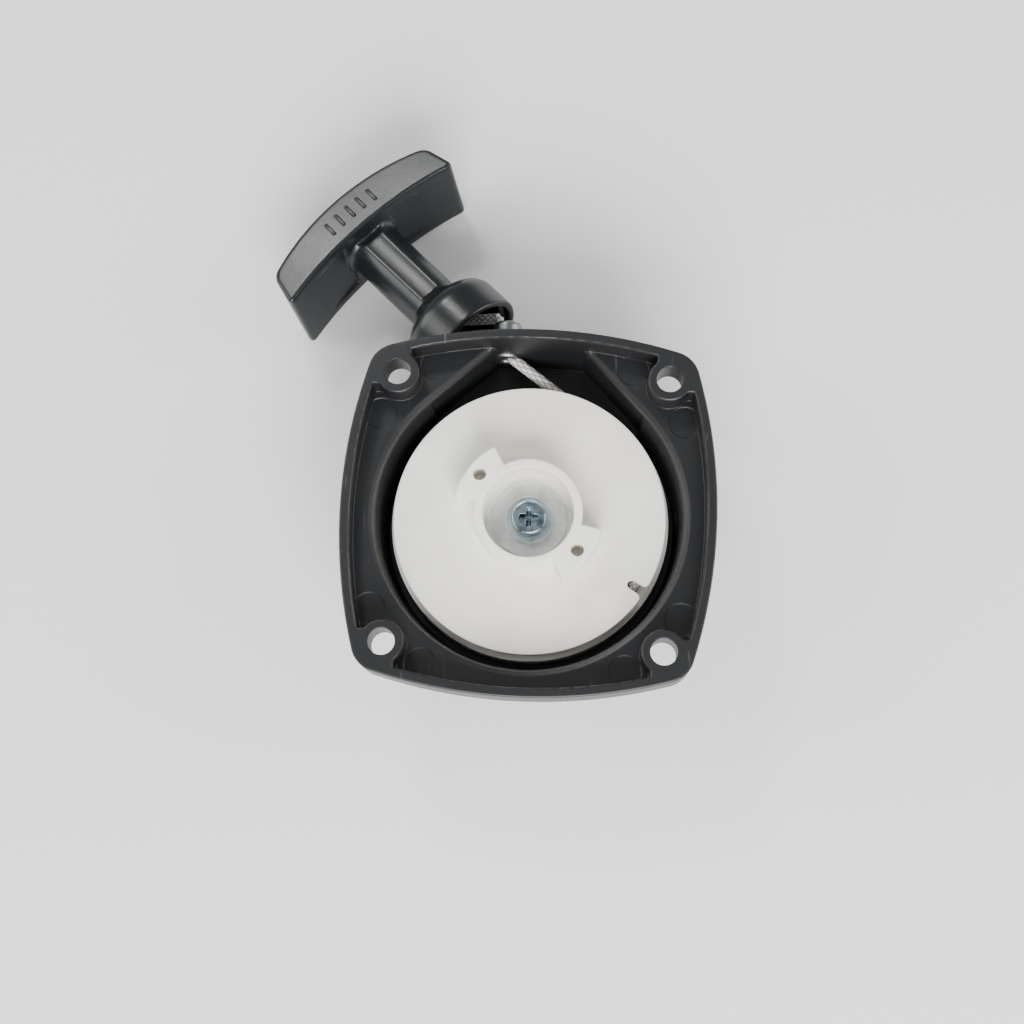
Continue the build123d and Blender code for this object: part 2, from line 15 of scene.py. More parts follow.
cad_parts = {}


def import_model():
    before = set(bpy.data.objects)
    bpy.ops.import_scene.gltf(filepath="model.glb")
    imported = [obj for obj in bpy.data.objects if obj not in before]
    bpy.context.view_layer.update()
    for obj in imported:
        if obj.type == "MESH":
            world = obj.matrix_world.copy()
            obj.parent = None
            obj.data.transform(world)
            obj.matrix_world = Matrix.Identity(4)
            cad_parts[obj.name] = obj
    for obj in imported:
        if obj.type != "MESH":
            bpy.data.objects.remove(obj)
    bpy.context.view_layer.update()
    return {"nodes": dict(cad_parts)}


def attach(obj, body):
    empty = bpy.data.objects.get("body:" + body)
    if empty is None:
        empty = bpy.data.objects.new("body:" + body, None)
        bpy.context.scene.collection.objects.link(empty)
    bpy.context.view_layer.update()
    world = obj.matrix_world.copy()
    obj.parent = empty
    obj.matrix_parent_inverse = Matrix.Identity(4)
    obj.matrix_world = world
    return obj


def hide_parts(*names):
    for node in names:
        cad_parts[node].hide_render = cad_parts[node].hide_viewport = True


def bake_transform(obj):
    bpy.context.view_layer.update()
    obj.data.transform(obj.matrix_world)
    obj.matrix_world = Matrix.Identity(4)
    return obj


LOG = logging.getLogger("recoil_starter")
MM = 0.001
FLOOR_Z = -45.0 * MM


class Body(str, Enum):
    """The moving bodies that pieces ride on."""

    HOUSING = "starter_body"
    ROPE_END = "rope_end"
    HANDLE = "pull_handle"


class Grain(Enum):
    """How a metal surface was worked."""

    TURNED = "turned"
    PRESSED = "pressed"


# ---------------------------------------------------------------- small helpers


def linear(hex_colour: str) -> tuple[float, float, float, float]:
    """Turns an sRGB hex colour into linear RGBA.

    Args:
        hex_colour: The colour, such as "2a2b2d".

    Returns:
        Linear red, green, blue and an alpha of one.
    """
    parts = [int(hex_colour[i : i + 2], 16) / 255 for i in (0, 2, 4)]
    curve = [c / 12.92 if c <= 0.04045 else ((c + 0.055) / 1.055) ** 2.4 for c in parts]
    return (curve[0], curve[1], curve[2], 1.0)


def add_node(tree: bpy.types.NodeTree, kind: str, links: dict | None = None, **settings) -> bpy.types.Node:
    """Adds one node with its settings and links.

    Args:
        tree: The material's node tree.
        kind: The node's type name.
        links: Input name or index to the socket that feeds it, or to a plain value.
        **settings: Attributes of the node itself.

    Returns:
        The new node.
    """
    node = tree.nodes.new(kind)
    for name, value in settings.items():
        setattr(node, name, value)
    for name, value in (links or {}).items():
        if isinstance(value, bpy.types.NodeSocket):
            tree.links.new(value, node.inputs[name])
        else:
            node.inputs[name].default_value = value
    return node


def start_material(name: str) -> tuple[bpy.types.Material, bpy.types.NodeTree, bpy.types.Node]:
    """Makes a node material and finds its shader.

    Args:
        name: The material's name.

    Returns:
        The material, its node tree and its Principled shader.
    """
    material = bpy.data.materials.new(name)
    material.use_nodes = True
    tree = material.node_tree
    return material, tree, tree.nodes["Principled BSDF"]


def ramp(
    tree: bpy.types.NodeTree, source: bpy.types.NodeSocket, stops: list[tuple[float, tuple]]
) -> bpy.types.NodeSocket:
    """Adds a colour ramp.

    Args:
        tree: The material's node tree.
        source: The value that drives the ramp.
        stops: Position and linear colour of each stop, in order.

    Returns:
        The ramp's colour socket.
    """
    node = add_node(tree, "ShaderNodeValToRGB", {"Fac": source})
    elements = node.color_ramp.elements
    while len(elements) < len(stops):
        elements.new(0.5)
    for element, (place, colour) in zip(elements, stops):
        element.position = place
        element.color = colour
    return node.outputs["Color"]


def per_metre(size_mm: float) -> float:
    """Turns a pattern's size in millimetres into a texture scale."""
    return 1.0 / (size_mm * MM)


def dress(piece: bpy.types.Object, material: bpy.types.Material, smooth_degrees: float = 32.0) -> None:
    """Gives a piece its only material and smooths its curved faces.

    Args:
        piece: The piece.
        material: Its material.
        smooth_degrees: Edges flatter than this are shaded smooth.
    """
    piece.data.materials.clear()
    piece.data.materials.append(material)
    only_active(piece)
    bpy.ops.object.shade_smooth_by_angle(angle=math.radians(smooth_degrees))
    bpy.ops.object.select_all(action="DESELECT")


def only_active(piece: bpy.types.Object) -> None:
    """Selects one piece and nothing else."""
    bpy.ops.object.select_all(action="DESELECT")
    piece.select_set(True)
    bpy.context.view_layer.objects.active = piece


def settle(piece: bpy.types.Object) -> None:
    """Applies a piece's place, turn and scale to its mesh."""
    only_active(piece)
    bpy.ops.object.transform_apply(location=True, rotation=True, scale=True)


def apply_modifier(piece: bpy.types.Object, kind: str, **settings) -> None:
    """Adds a modifier and applies it at once.

    Args:
        piece: The piece.
        kind: The modifier's type.
        **settings: Its settings.
    """
    only_active(piece)
    modifier = piece.modifiers.new(kind.title(), kind)
    for name, value in settings.items():
        setattr(modifier, name, value)
    bpy.ops.object.modifier_apply(modifier=modifier.name)


def edge_ends(piece: bpy.types.Object) -> list[tuple[Vector, Vector]]:
    """The two end points of each edge."""
    points = [vertex.co.copy() for vertex in piece.data.vertices]
    return [(points[edge.vertices[0]], points[edge.vertices[1]]) for edge in piece.data.edges]


def select_edges(piece: bpy.types.Object, chosen: list[bool]) -> None:
    """Selects edges and leaves the piece in edit mode.

    Args:
        piece: The piece.
        chosen: Whether each edge is selected, in order.
    """
    only_active(piece)
    bpy.ops.object.mode_set(mode="EDIT")
    bpy.ops.mesh.select_mode(type="EDGE")
    bpy.ops.mesh.select_all(action="DESELECT")
    bpy.ops.object.mode_set(mode="OBJECT")
    for edge, is_chosen in zip(piece.data.edges, chosen):
        edge.select = is_chosen
    bpy.ops.object.mode_set(mode="EDIT")


def lathe(name: str, rings: list[tuple[float, float]], sides: int = 72) -> bpy.types.Object:
    """Models a round piece about local X by extruding a circle ring by ring.

    Args:
        name: The piece's name.
        rings: Radius and distance along X of each ring, in millimetres, in order.
        sides: Sides of the circle.

    Returns:
        The closed piece at the origin.
    """
    bpy.ops.object.select_all(action="DESELECT")
    first_radius, first_place = rings[0]
    bpy.ops.mesh.primitive_circle_add(
        vertices=sides,
        radius=first_radius * MM,
        fill_type="NGON",
        location=(first_place * MM, 0, 0),
        rotation=(0, math.radians(90), 0),
    )
    piece = bpy.context.object
    piece.name = name
    settle(piece)
    bpy.ops.object.mode_set(mode="EDIT")
    bpy.ops.mesh.select_all(action="SELECT")
    radius, place = first_radius, first_place
    for next_radius, next_place in rings[1:]:
        bpy.ops.mesh.extrude_region_move(TRANSFORM_OT_translate={"value": ((next_place - place) * MM, 0, 0)})
        growth = next_radius / radius
        bpy.ops.transform.resize(value=(1, growth, growth), center_override=(next_place * MM, 0, 0))
        radius, place = next_radius, next_place
    bpy.ops.mesh.select_all(action="SELECT")
    bpy.ops.mesh.normals_make_consistent(inside=False)
    bpy.ops.object.mode_set(mode="OBJECT")
    return piece


def cut(piece: bpy.types.Object, tool: bpy.types.Object, operation: str = "DIFFERENCE") -> None:
    """Joins or cuts a piece with another, which is used up.

    Args:
        piece: The piece that stays.
        tool: The piece that is used up.
        operation: The boolean's operation.
    """
    apply_modifier(piece, "BOOLEAN", operation=operation, object=tool, solver="EXACT")
    bpy.data.objects.remove(tool, do_unlink=True)


# ---------------------------------------------------------------- finishes


@dataclass(frozen=True)
class MouldedPlastic:
    """Injection-moulded opaque plastic: an even sheen broken by fine texture, flow marks and light scuffs."""

    name: str
    colour: str
    scuffed: str
    roughness: float
    ior: float
    texture_mm: float
    texture_depth_mm: float
    mark_amount: float
    edge_mm: float

    def build(self) -> bpy.types.Material:
        """Makes the material."""
        material, tree, shader = start_material(self.name)
        place = add_node(tree, "ShaderNodeTexCoord").outputs["Object"]
        flow = add_node(
            tree, "ShaderNodeTexNoise", {"Vector": place, "Scale": per_metre(22), "Detail": 4.0, "Roughness": 0.6}
        )
        fine = add_node(
            tree, "ShaderNodeTexNoise", {"Vector": place, "Scale": per_metre(self.texture_mm), "Detail": 3.0}
        )
        # scuffs are short and run mostly one way, so their noise is stretched
        stretch = {"Vector": place, "Scale": (1.0, 0.12, 0.6), "Rotation": (0, 0, 0.6)}
        along = add_node(tree, "ShaderNodeMapping", stretch)
        scuff = add_node(
            tree,
            "ShaderNodeTexNoise",
            {"Vector": along.outputs["Vector"], "Scale": per_metre(1.6), "Detail": 2.0, "Roughness": 0.5},
        )
        dust = add_node(tree, "ShaderNodeTexVoronoi", {"Vector": place, "Scale": per_metre(2.4)})
        speck = ramp(tree, dust.outputs["Distance"], [(0.035, (1, 1, 1, 1)), (0.075, (0, 0, 0, 1))])
        scuff_mask = ramp(tree, scuff.outputs["Fac"], [(0.66, (0, 0, 0, 1)), (0.78, (1, 1, 1, 1))])
        patch = ramp(tree, flow.outputs["Fac"], [(0.45, (0, 0, 0, 1)), (0.62, (1, 1, 1, 1))])
        marks = add_node(tree, "ShaderNodeMath", {0: scuff_mask, 1: speck}, operation="MAXIMUM")
        patched = add_node(tree, "ShaderNodeMath", {0: marks.outputs[0], 1: patch}, operation="MULTIPLY")
        amount = add_node(tree, "ShaderNodeMath", {0: patched.outputs[0], 1: self.mark_amount}, operation="MULTIPLY")
        colour = add_node(
            tree,
            "ShaderNodeMix",
            {"Factor": amount.outputs[0], 6: linear(self.colour), 7: linear(self.scuffed)},
            data_type="RGBA",
        )
        tree.links.new(colour.outputs[2], shader.inputs["Base Color"])
        gloss = add_node(
            tree,
            "ShaderNodeMapRange",
            {"Value": flow.outputs["Fac"], "To Min": self.roughness - 0.07, "To Max": self.roughness + 0.09},
        )
        tree.links.new(gloss.outputs["Result"], shader.inputs["Roughness"])
        shader.inputs["IOR"].default_value = self.ior
        rounded = add_node(tree, "ShaderNodeBevel", {"Radius": self.edge_mm * MM}, samples=6)
        waviness = add_node(
            tree,
            "ShaderNodeBump",
            {
                "Height": flow.outputs["Fac"],
                "Distance": 0.25 * MM,
                "Strength": 0.35,
                "Normal": rounded.outputs["Normal"],
            },
        )
        bump = add_node(
            tree,
            "ShaderNodeBump",
            {
                "Height": fine.outputs["Fac"],
                "Distance": self.texture_depth_mm * MM,
                "Strength": 0.6,
                "Normal": waviness.outputs["Normal"],
            },
        )
        tree.links.new(bump.outputs["Normal"], shader.inputs["Normal"])
        return material


@dataclass(frozen=True)
class NaturalNylon:
    """Unfilled natural nylon: milky, so light goes in a few millimetres and edges look soft."""

    name: str = "Natural white nylon"
    colour: str = "f4f2ec"
    tint: str = "ece8dc"
    roughness: float = 0.42

    def build(self) -> bpy.types.Material:
        """Makes the material."""
        material, tree, shader = start_material(self.name)
        place = add_node(tree, "ShaderNodeTexCoord").outputs["Object"]
        cloud = add_node(
            tree, "ShaderNodeTexNoise", {"Vector": place, "Scale": per_metre(28), "Detail": 3.0, "Roughness": 0.5}
        )
        fine = add_node(tree, "ShaderNodeTexNoise", {"Vector": place, "Scale": per_metre(0.9), "Detail": 4.0})
        shade = ramp(tree, cloud.outputs["Fac"], [(0.38, linear(self.tint)), (0.6, linear(self.colour))])
        tree.links.new(shade, shader.inputs["Base Color"])
        gloss = add_node(
            tree,
            "ShaderNodeMapRange",
            {"Value": fine.outputs["Fac"], "To Min": self.roughness - 0.05, "To Max": self.roughness + 0.08},
        )
        tree.links.new(gloss.outputs["Result"], shader.inputs["Roughness"])
        shader.inputs["IOR"].default_value = 1.53
        shader.inputs["Subsurface Weight"].default_value = 0.35
        shader.inputs["Subsurface Radius"].default_value = (1.0, 0.92, 0.8)
        shader.inputs["Subsurface Scale"].default_value = 1.6 * MM
        rounded = add_node(tree, "ShaderNodeBevel", {"Radius": 0.35 * MM}, samples=6)
        bump = add_node(
            tree,
            "ShaderNodeBump",
            {
                "Height": fine.outputs["Fac"],
                "Distance": 0.02 * MM,
                "Strength": 0.5,
                "Normal": rounded.outputs["Normal"],
            },
        )
        tree.links.new(bump.outputs["Normal"], shader.inputs["Normal"])
        return material


@dataclass(frozen=True)
class PlatedMetal:
    """Plated or bare metal with the fine lines of its working and a little patchy oxide."""

    name: str
    colour: str
    stain: str
    roughness: float
    grain: Grain = Grain.PRESSED
    grain_mm: float = 0.25
    stain_mm: float = 5.0

    def build(self) -> bpy.types.Material:
        """Makes the material."""
        material, tree, shader = start_material(self.name)
        place = add_node(tree, "ShaderNodeTexCoord").outputs["Object"]
        patch = add_node(
            tree,
            "ShaderNodeTexNoise",
            {"Vector": place, "Scale": per_metre(self.stain_mm), "Detail": 5.0, "Roughness": 0.65},
        )
        if self.grain is Grain.TURNED:
            # turned faces carry rings about the axis
            lines = add_node(
                tree,
                "ShaderNodeTexWave",
                {"Vector": place, "Scale": per_metre(self.grain_mm) / 6.283, "Distortion": 0.6, "Detail": 2.0},
                wave_type="RINGS",
                rings_direction="Z",
            )
        else:
            lines = add_node(
                tree, "ShaderNodeTexNoise", {"Vector": place, "Scale": per_metre(self.grain_mm), "Detail": 3.0}
            )
        shade = ramp(tree, patch.outputs["Fac"], [(0.36, linear(self.stain)), (0.6, linear(self.colour))])
        tree.links.new(shade, shader.inputs["Base Color"])
        shader.inputs["Metallic"].default_value = 1.0
        gloss = add_node(
            tree,
            "ShaderNodeMapRange",
            {"Value": patch.outputs["Fac"], "To Min": self.roughness + 0.1, "To Max": self.roughness - 0.08},
        )
        tree.links.new(gloss.outputs["Result"], shader.inputs["Roughness"])
        rounded = add_node(tree, "ShaderNodeBevel", {"Radius": 0.15 * MM}, samples=6)
        bump = add_node(
            tree,
            "ShaderNodeBump",
            {
                "Height": lines.outputs["Fac"],
                "Distance": 0.012 * MM,
                "Strength": 0.5,
                "Normal": rounded.outputs["Normal"],
            },
        )
        tree.links.new(bump.outputs["Normal"], shader.inputs["Normal"])
        return material


@dataclass(frozen=True)
class BraidedNylon:
    """Braided nylon cord: strands cross at a steep angle; the grooves between them are painted darker as painted shade,
    and random patches are greyed as dirt.

    The strands are drawn a little wider than real ones so that they show.
    """

    name: str = "Braided nylon cord"
    colour: str = "dedbd6"
    # colour of the painted shade in the grooves between strands, and of the grey dirt in random patches
    gap_shade_and_dirt: str = "8f8a86"
    strands_round: int = 6
    lay_mm: float = 3.6

    def build(self, length_mm: float) -> bpy.types.Material:
        """Makes the material for a cord whose UV map runs once along and once round.

        Args:
            length_mm: The cord's length.

        Returns:
            The material.
        """
        material, tree, shader = start_material(f"{self.name} {round(length_mm)} mm")
        uv = add_node(tree, "ShaderNodeUVMap", uv_map="UVMap").outputs["UV"]
        split = add_node(tree, "ShaderNodeSeparateXYZ", {"Vector": uv})
        turns_round = math.tau * self.strands_round / 2
        turns_along = math.tau * length_mm / self.lay_mm
        around = add_node(tree, "ShaderNodeMath", {0: split.outputs["Y"], 1: turns_round}, operation="MULTIPLY")
        along = add_node(tree, "ShaderNodeMath", {0: split.outputs["X"], 1: turns_along}, operation="MULTIPLY")
        waves = []
        for operation in ("ADD", "SUBTRACT"):
            phase = add_node(tree, "ShaderNodeMath", {0: along.outputs[0], 1: around.outputs[0]}, operation=operation)
            wave = add_node(tree, "ShaderNodeMath", {0: phase.outputs[0]}, operation="SINE")
            waves.append(add_node(tree, "ShaderNodeMath", {0: wave.outputs[0]}, operation="ABSOLUTE").outputs[0])
        height = add_node(tree, "ShaderNodeMath", {0: waves[0], 1: waves[1]}, operation="MULTIPLY").outputs[0]
        worn = add_node(
            tree,
            "ShaderNodeTexNoise",
            {"Vector": add_node(tree, "ShaderNodeTexCoord").outputs["Object"], "Scale": per_metre(2.5), "Detail": 4.0},
        )
        mixed = add_node(tree, "ShaderNodeMath", {0: height, 1: worn.outputs["Fac"]}, operation="MULTIPLY").outputs[0]
        # base colour: painted shade where the braid's height is low between strands, and grey dirt where the worn noise
        # is low
        shade = ramp(tree, mixed, [(0.02, linear(self.gap_shade_and_dirt)), (0.3, linear(self.colour))])
        tree.links.new(shade, shader.inputs["Base Color"])
        shader.inputs["Roughness"].default_value = 0.62
        shader.inputs["IOR"].default_value = 1.53
        shader.inputs["Sheen Weight"].default_value = 0.25
        bump = add_node(tree, "ShaderNodeBump", {"Height": height, "Distance": 0.2 * MM, "Strength": 0.8})
        tree.links.new(bump.outputs["Normal"], shader.inputs["Normal"])
        return material


@dataclass(frozen=True)
class StudioPaper:
    """Matt white backdrop paper, too fine to show a grain."""

    name: str = "Backdrop paper"
    colour: str = "e9e9ea"

    def build(self) -> bpy.types.Material:
        """Makes the material."""
        material, _, shader = start_material(self.name)
        shader.inputs["Base Color"].default_value = linear(self.colour)
        shader.inputs["Roughness"].default_value = 0.7
        return material


# ---------------------------------------------------------------- sub-assemblies


@dataclass
class CastHardware:
    """The CAD nodes that keep their shape and take a better finish."""

    nodes: dict

    def dress_all(self, finishes: dict[str, bpy.types.Material]) -> list[str]:
        """Gives each node its material.

        Args:
            finishes: Node name to material.

        Returns:
            The names of the nodes dressed.
        """
        for name, material in finishes.items():
            dress(self.nodes[name], material)
        return sorted(finishes)


@dataclass
class PullHandle:
    """T-handle: a bowed grip on a stem that flares into a cup round the rope.

    Local X runs along the pull from the cup's mouth, Y along the grip and Z across it.
    """

    length: float = 57.1
    outer_chord: float = 57.5
    inner_chord: float = 62.0
    bow_radius: float = 73.0
    middle: float = 12.3
    end: float = 10.6
    breadth: float = 26.0
    stem_radius: float = 8.1
    stem_flat: float = 6.6
    hollow: float = 0.35
    cup_radius: float = 15.0
    cup_wall: float = 1.9
    finger_step: float = 3.2
    finger_recess: float = 1.1
    bridge: float = 8.2
    corner_round: float = 2.2
    edge_round: float = 0.9
    voxel: float = 0.34
    bars: int = 5
    bar_pitch: float = 3.9
    bar_size: tuple[float, float, float] = (4.6, 1.2, 0.7)
    bar_edge: float = 0.3
    bore_radius: float = 1.9
    bore_mouth: float = 4.2
    flat_middle: float = 31.5
    flat_length: float = 28.5
    finger_reach: float = 22.0
    mouth: tuple[float, float, float] = (-17.5, 51.9, -22.9)
    heading: float = 44.5
    droop: float = 9.0
    roll: float = 1.0

    def place(self, mouth: Vector, heading: float, droop: float, roll: float) -> Matrix:
        """Works out the handle's place.

        Args:
            mouth: The middle of the cup's mouth, in metres.
            heading: Degrees from -X towards +Y.
            droop: Degrees that the far end hangs.
            roll: Degrees about its own axis.

        Returns:
            The matrix from local to frame.
        """
        h, d, r = (math.radians(a) for a in (heading, droop, roll))
        u = Vector((-math.cos(h) * math.cos(d), math.sin(h) * math.cos(d), -math.sin(d)))
        level_v = Vector((0, 0, 1)).cross(u).normalized()
        level_w = u.cross(level_v)
        v = level_v * math.cos(r) + level_w * math.sin(r)
        w = level_w * math.cos(r) - level_v * math.sin(r)
        return Matrix.Translation(mouth) @ Matrix((u, v, w)).transposed().to_4x4()

    def bow(self, across: float) -> float:
        """How far the grip's arc falls back, in millimetres, at a distance from its middle."""
        return self.bow_radius - math.sqrt(self.bow_radius**2 - across**2)

    def bowed_block(
        self, name: str, across: tuple[float, float], front: tuple[float, float], back: float, breadth: float
    ) -> bpy.types.Object:
        """Models a block bowed like the grip, from a cube cut into slices.

        Args:
            name: The piece's name.
            across: Where it starts and ends along the grip, in millimetres, measured on its back.
            front: Its depth below the grip's back at the grip's middle and at its ends.
            back: How far its own back lies below the grip's back.
            breadth: Its size across the grip.

        Returns:
            The block in local axes.
        """
        bpy.ops.object.select_all(action="DESELECT")
        bpy.ops.mesh.primitive_cube_add(size=2 * MM, location=(0, 0, 0))
        block = bpy.context.object
        block.name = name
        block.scale = (1, 1, breadth / 2)
        settle(block)
        select_edges(block, [abs(a.y - b.y) > MM for a, b in edge_ends(block)])
        bpy.ops.mesh.subdivide(number_cuts=36)
        bpy.ops.object.mode_set(mode="OBJECT")
        spread = self.inner_chord / self.outer_chord
        for vertex in block.data.vertices:
            share = (vertex.co.y / MM + 1) / 2
            if 0.001 < share < 0.999:
                share = 0.5 + (share - 0.5) * 0.9
            side = across[0] + (across[1] - across[0]) * share
            end = abs(side) / (self.outer_chord / 2)
            along = self.length - self.bow(side)
            if vertex.co.x > 0:
                along -= back
            else:
                along -= front[0] + (front[1] - front[0]) * end * end
                side *= spread
            vertex.co.x = along * MM
            vertex.co.y = side * MM
        return block

    def round_edges(self, bar: bpy.types.Object) -> None:
        """Rounds the bar's four upright corners well and its long edges a little.

        Args:
            bar: The bar.
        """
        half = self.breadth / 2 * MM
        for upright, radius, segments in ((True, self.corner_round, 6), (False, self.edge_round, 4)):
            steep = {key for face in bar.data.polygons if abs(face.normal.z) < 0.5 for key in face.edge_keys}
            tip = max(abs(vertex.co.y) for vertex in bar.data.vertices)
            chosen = []
            for edge, (a, b) in zip(bar.data.edges, edge_ends(bar)):
                level = abs(abs(a.z) - half) < 1e-6 and abs(a.z - b.z) < 1e-6
                corner = abs(a.z - b.z) > half and abs(a.y) > tip * 0.9
                chosen.append(corner if upright else level and edge.key in steep)
            select_edges(bar, chosen)
            bpy.ops.mesh.bevel(offset=radius * MM, segments=segments, affect="EDGES", clamp_overlap=False)
            bpy.ops.object.mode_set(mode="OBJECT")

    def finger_cutters(self) -> list[bpy.types.Object]:
        """Models the shallow recesses for the fingers, one each side of the stem."""
        depth = (self.middle - self.finger_recess, self.end - self.finger_recess)
        breadth = self.breadth - 2 * self.finger_step
        cutters = []
        for side in (-1, 1):
            ends = sorted((side * self.bridge, side * (self.outer_chord / 2 + 6)))
            reach = (self.finger_reach, self.finger_reach)
            cutter = self.bowed_block(f"finger_cutter_{side}", (ends[0], ends[1]), reach, depth[0], breadth)
            cutters.append(cutter)
        return cutters

    def build(self, place: Matrix) -> list[bpy.types.Object]:
        """Models the handle and its raised bars.

        Args:
            place: The matrix from local to frame.

        Returns:
            The handle's pieces.
        """
        half = self.outer_chord / 2
        bar = self.bowed_block("pull_handle", (-half, half), (self.middle, self.end), 0, self.breadth)
        self.round_edges(bar)
        for cutter in self.finger_cutters():
            cut(bar, cutter)
        flare = lathe(
            "handle_stem",
            [
                (self.stem_radius, self.length - self.middle + 4),
                (self.stem_radius + 1.3, self.length - self.middle - 0.2),
                (self.stem_radius + 0.35, self.length - self.middle - 1.2),
                (self.stem_radius, self.length - self.middle - 2.6),
                (self.stem_radius - 0.1, 17.0),
                (self.stem_radius + 0.4, 15.8),
                (self.stem_radius + 2.0, 14.8),
                (self.cup_radius - 2.2, 13.2),
                (self.cup_radius - 0.9, 11.9),
                (self.cup_radius - 0.2, 10.4),
                (self.cup_radius, 9.0),
                (self.cup_radius, 0.4),
                (self.cup_radius - 0.4, 0.0),
                (self.cup_radius - self.cup_wall + 0.3, 0.0),
                (self.cup_radius - self.cup_wall, 0.4),
                (self.cup_radius - self.cup_wall, 2.6),
                (self.cup_radius - self.cup_wall - 1.4, 2.9),
                (self.cup_radius - self.cup_wall - 1.6, 10.6),
                (self.bore_mouth, 10.8),
                (self.bore_radius, 13.2),
                (self.bore_radius, 14.6),
            ],
        )
        for side in (-1, 1):
            self.shave(flare, side)
        cut(bar, flare, "UNION")
        apply_modifier(bar, "REMESH", mode="VOXEL", voxel_size=self.voxel * MM)
        apply_modifier(bar, "SMOOTH", factor=0.5, iterations=5)
        bar.data.transform(place)
        pieces = [bar]
        pieces.extend(self.raised_bars(place))
        return pieces

    def shave(self, stem: bpy.types.Object, side: int) -> None:
        """Cuts a narrow, slightly hollow flat along the stem's upper or lower side.

        Args:
            stem: The stem.
            side: 1 for the upper side, -1 for the lower.
        """
        half = self.stem_flat / 2
        edge_height = math.sqrt(self.stem_radius**2 - half**2)
        radius = (half**2 + self.hollow**2) / (2 * self.hollow)
        centre = side * (edge_height - self.hollow + radius)
        bpy.ops.object.select_all(action="DESELECT")
        bpy.ops.mesh.primitive_cylinder_add(
            vertices=96,
            radius=radius * MM,
            depth=self.flat_length * MM,
            location=(self.flat_middle * MM, 0, centre * MM),
            rotation=(0, math.radians(90), 0),
        )
        block = bpy.context.object
        settle(block)
        cut(stem, block)

    def raised_bars(self, place: Matrix) -> list[bpy.types.Object]:
        """Models the row of plain raised bars on the grip's upper face.

        Args:
            place: The matrix from local to frame.

        Returns:
            The bars as one piece.
        """
        parts = []
        for index in range(self.bars):
            across = (index - (self.bars - 1) / 2) * self.bar_pitch
            bpy.ops.object.select_all(action="DESELECT")
            bpy.ops.mesh.primitive_cube_add(size=1, location=(0, 0, 0))
            bar = bpy.context.object
            bar.name = "grip_bars" if index == 0 else f"grip_bar_{index}"
            bar.scale = tuple(side * MM for side in self.bar_size)
            bar.location = (
                (self.length - self.bow(across) - self.middle / 2) * MM,
                across * MM,
                (self.breadth / 2 + 0.02) * MM,
            )
            settle(bar)
            bpy.ops.object.mode_set(mode="EDIT")
            bpy.ops.mesh.select_all(action="SELECT")
            bpy.ops.mesh.bevel(offset=self.bar_edge * MM, segments=3, affect="EDGES")
            bpy.ops.object.mode_set(mode="OBJECT")
            parts.append(bar)
        bpy.ops.object.select_all(action="DESELECT")
        for bar in parts:
            bar.select_set(True)
        bpy.context.view_layer.objects.active = parts[0]
        bpy.ops.object.join()
        joined = bpy.context.object
        joined.data.transform(place)
        return [joined]


